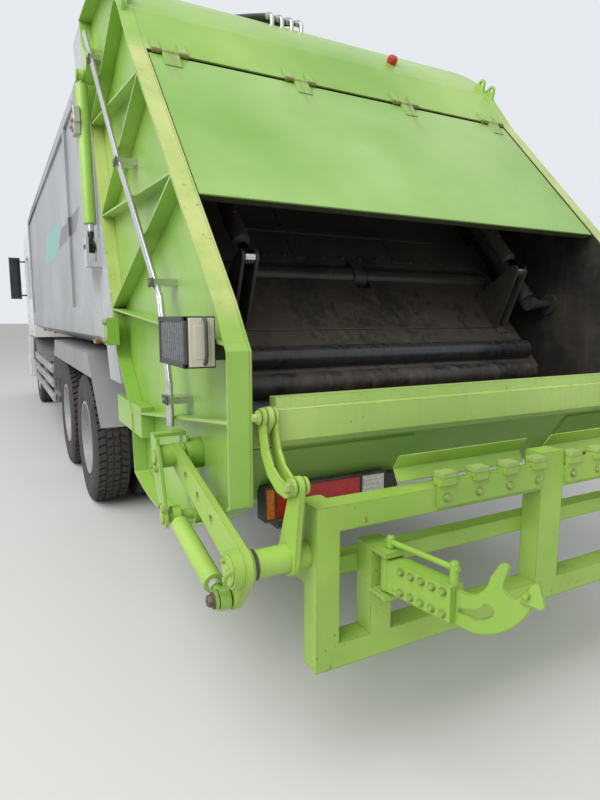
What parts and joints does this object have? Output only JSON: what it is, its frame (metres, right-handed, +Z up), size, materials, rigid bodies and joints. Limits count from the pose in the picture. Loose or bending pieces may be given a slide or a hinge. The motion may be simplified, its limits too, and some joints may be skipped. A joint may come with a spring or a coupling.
{
  "type": "garbage truck",
  "caption": "Rear-loading garbage truck with tilting cab, hollow body, lifting tailgate with packer slide and blade, bin lifter with comb and hook arms, and steered front wheels.",
  "frame": {"origin": "on the ground, half way along the truck (bumper to hook tips) and on its centre line", "axes": "+X forward, +Y to the driver's left, +Z up"},
  "size_m": [11.8108, 2.96, 3.535],
  "materials": {
    "chassis_paint": "satin, dusty",
    "engine_iron": "rough",
    "tank_paint": "satin",
    "guard_paint": "satin",
    "mudguard_paint": "satin, dusty",
    "body_paint": "satin, dusty",
    "cab_paint": "gloss",
    "clear_glass": "clear",
    "cab_trim": "matt",
    "black_plastic": "matt",
    "tyre_rubber": "matt, dusty",
    "hose_rubber": "matt",
    "rim_paint": "satin, dirty",
    "lime_paint": "gloss, scratched and rusty",
    "worn_steel": "worn and dirty",
    "rod_chrome": "polished",
    "pipe_steel": "zinc plated",
    "lamp_plastic": "gloss lenses"
  },
  "bodies": {
    "chassis": {"chassis_frame": "chassis_paint", "axles": "chassis_paint", "engine": "engine_iron", "side_tanks": "tank_paint", "side_guards": "guard_paint", "rear_mudguards": "mudguard_paint", "front_mudguards": "mudguard_paint", "body_shell": "body_paint", "body_rear_frame": "body_paint", "front_bumper": "cab_paint"},
    "cab": {"cab_shell": "cab_paint", "cab_glass": "clear_glass", "cab_interior": "cab_trim", "cab_mirrors": "black_plastic"},
    "left_door": {"left_door": "cab_paint", "left_door_glass": "clear_glass"},
    "right_door": {"right_door": "cab_paint", "right_door_glass": "clear_glass"},
    "left_knuckle": {"left_knuckle": "chassis_paint"},
    "right_knuckle": {"right_knuckle": "chassis_paint"},
    "left_front_wheel": {"left_front_tyre": "tyre_rubber", "left_front_rim": "rim_paint"},
    "right_front_wheel": {"right_front_tyre": "tyre_rubber", "right_front_rim": "rim_paint"},
    "left_middle_wheels": {"left_middle_tyres": "tyre_rubber", "left_middle_rims": "rim_paint"},
    "left_rear_wheels": {"left_rear_tyres": "tyre_rubber", "left_rear_rims": "rim_paint"},
    "right_middle_wheels": {"right_middle_tyres": "tyre_rubber", "right_middle_rims": "rim_paint"},
    "right_rear_wheels": {"right_rear_tyres": "tyre_rubber", "right_rear_rims": "rim_paint"},
    "tailgate": {"tailgate_shell": "lime_paint", "hopper_trough": "worn_steel", "hopper_lip": "lime_paint", "tailgate_ribs": "lime_paint", "cover_hinges": "lime_paint", "rear_lamps": "lamp_plastic", "hydraulic_pipes": "pipe_steel", "slide_cylinder_barrels": "worn_steel", "roof_hose_1": "hose_rubber", "roof_hose_2": "hose_rubber", "roof_hose_3": "hose_rubber", "roof_hose_4": "hose_rubber"},
    "cover": {"hopper_cover": "lime_paint"},
    "packer_slide": {"packer_slide": "worn_steel", "slide_cylinder_rods": "rod_chrome"},
    "packer_blade": {"packer_blade": "worn_steel"},
    "blade_barrels": {"blade_cylinder_barrels": "worn_steel"},
    "blade_rods": {"blade_cylinder_rods": "rod_chrome"},
    "gate_barrels": {"gate_cylinder_barrels": "lime_paint"},
    "gate_rods": {"gate_cylinder_rods": "rod_chrome"},
    "lifter_arms": {"lifter_arms": "lime_paint"},
    "lifter_frame": {"lifter_frame": "lime_paint", "comb_plates": "lime_paint"},
    "lifter_links": {"lifter_links": "lime_paint"},
    "lift_barrels": {"lifter_cylinder_barrels": "lime_paint"},
    "lift_rods": {"lifter_cylinder_rods": "rod_chrome"},
    "left_hook": {"left_hook_arm": "lime_paint"},
    "right_hook": {"right_hook_arm": "lime_paint"}
  },
  "joints": [
    {"name": "cab_tilt", "type": "hinge", "parent": "chassis", "child": "cab", "pos_m": [5.752, 0, 0.9], "axis": [0, 1, 0], "range_deg": [0, 50]},
    {"name": "left_door_hinge", "type": "hinge", "parent": "cab", "child": "left_door", "pos_m": [5.498, 1.21, 1.95], "axis": [0, 0, -1], "range_deg": [0, 70]},
    {"name": "right_door_hinge", "type": "hinge", "parent": "cab", "child": "right_door", "pos_m": [5.498, -1.21, 1.95], "axis": [0, 0, 1], "range_deg": [0, 70]},
    {"name": "left_steering", "type": "hinge", "parent": "chassis", "child": "left_knuckle", "pos_m": [4.502, 0.85, 0.515], "axis": [0, 0, 1], "range_deg": [-35, 35]},
    {"name": "right_steering", "type": "hinge", "parent": "chassis", "child": "right_knuckle", "pos_m": [4.502, -0.85, 0.515], "axis": [0, 0, 1], "range_deg": [-35, 35]},
    {"name": "left_front_wheel_spin", "type": "hinge", "parent": "left_knuckle", "child": "left_front_wheel", "pos_m": [4.502, 1.02, 0.525], "axis": [0, 1, 0], "continuous": true},
    {"name": "right_front_wheel_spin", "type": "hinge", "parent": "right_knuckle", "child": "right_front_wheel", "pos_m": [4.502, -1.02, 0.525], "axis": [0, 1, 0], "continuous": true},
    {"name": "left_middle_wheels_spin", "type": "hinge", "parent": "chassis", "child": "left_middle_wheels", "pos_m": [-0.448, 0.895, 0.525], "axis": [0, 1, 0], "continuous": true},
    {"name": "left_rear_wheels_spin", "type": "hinge", "parent": "chassis", "child": "left_rear_wheels", "pos_m": [-1.848, 0.895, 0.525], "axis": [0, 1, 0], "continuous": true},
    {"name": "right_middle_wheels_spin", "type": "hinge", "parent": "chassis", "child": "right_middle_wheels", "pos_m": [-0.448, -0.895, 0.525], "axis": [0, 1, 0], "continuous": true},
    {"name": "right_rear_wheels_spin", "type": "hinge", "parent": "chassis", "child": "right_rear_wheels", "pos_m": [-1.848, -0.895, 0.525], "axis": [0, 1, 0], "continuous": true},
    {"name": "tailgate_lift", "type": "hinge", "parent": "chassis", "child": "tailgate", "pos_m": [-2.488, 0, 3.48], "axis": [0, 1, 0], "range_deg": [0, 70]},
    {"name": "gate_barrels_swing", "type": "hinge", "parent": "tailgate", "child": "gate_barrels", "pos_m": [-2.868, 0, 2.95], "axis": [0, 1, 0], "range_deg": [-82, 1]},
    {"name": "gate_rods_extend", "type": "slide", "parent": "gate_barrels", "child": "gate_rods", "axis": [-0.0976, 0, -0.9952], "range_m": [0, 0.7093]},
    {"name": "cover_hinge", "type": "hinge", "parent": "tailgate", "child": "cover", "pos_m": [-4.0029, 0, 2.69327], "axis": [0, 1, 0], "range_deg": [0, 60]},
    {"name": "packer_slide_run", "type": "slide", "parent": "tailgate", "child": "packer_slide", "axis": [0.673, 0, 0.7396], "range_m": [0, 0.7]},
    {"name": "packer_blade_swing", "type": "hinge", "parent": "packer_slide", "child": "packer_blade", "pos_m": [-4.028, 0, 1.72], "axis": [0, -1, 0], "range_deg": [0, 50]},
    {"name": "blade_barrels_swing", "type": "hinge", "parent": "packer_slide", "child": "blade_barrels", "pos_m": [-3.64418, 0, 2.58757], "axis": [0, -1, 0], "range_deg": [-15, 15]},
    {"name": "blade_rods_extend", "type": "slide", "parent": "blade_barrels", "child": "blade_rods", "axis": [-0.6859, 0, -0.7277], "range_m": [0, 0.1907]},
    {"name": "lifter_links_swing", "type": "hinge", "parent": "tailgate", "child": "lifter_links", "pos_m": [-5.158, 0, 1.195], "axis": [0, 1, 0], "range_deg": [0, 177.5]},
    {"name": "lifter_frame_swing", "type": "hinge", "parent": "lifter_links", "child": "lifter_frame", "pos_m": [-5.358, 0, 1.025], "axis": [0, 1, 0], "range_deg": [-77, 1]},
    {"name": "lifter_arms_swing", "type": "hinge", "parent": "tailgate", "child": "lifter_arms", "pos_m": [-4.638, 0, 0.98], "axis": [0, 1, 0], "range_deg": [-1, 51]},
    {"name": "lift_barrels_swing", "type": "hinge", "parent": "tailgate", "child": "lift_barrels", "pos_m": [-4.728, 0, 0.77], "axis": [0, 1, 0], "range_deg": [-1, 54]},
    {"name": "lift_rods_extend", "type": "slide", "parent": "lift_barrels", "child": "lift_rods", "axis": [-0.9802, 0, -0.198], "range_m": [0, 0.1931]},
    {"name": "left_hook_swing", "type": "hinge", "parent": "lifter_frame", "child": "left_hook", "pos_m": [-5.41, 0.775, 0.71], "axis": [0, 0, -1], "range_deg": [-65, 5]},
    {"name": "right_hook_swing", "type": "hinge", "parent": "lifter_frame", "child": "right_hook", "pos_m": [-5.41, -0.775, 0.71], "axis": [0, 0, 1], "range_deg": [-65, 5]}
  ],
  "couplings": [
    {"joint": "right_steering", "follows": "left_steering", "ratio": 1},
    {"joint": "gate_barrels_swing", "follows": "tailgate_lift", "ratio": -1.15},
    {"joint": "gate_rods_extend", "follows": "tailgate_lift", "m_per_rad": 0.5789},
    {"joint": "blade_barrels_swing", "follows": "packer_blade_swing", "ratio": 0.26176},
    {"joint": "blade_rods_extend", "follows": "packer_blade_swing", "m_per_rad": 0.2162},
    {"joint": "lifter_frame_swing", "follows": "lifter_links_swing", "ratio": -0.4255},
    {"joint": "lifter_arms_swing", "follows": "lifter_links_swing", "ratio": 0.28169},
    {"joint": "lift_barrels_swing", "follows": "lifter_links_swing", "ratio": 0.29666},
    {"joint": "lift_rods_extend", "follows": "lifter_links_swing", "m_per_rad": 0.061701}
  ]
}
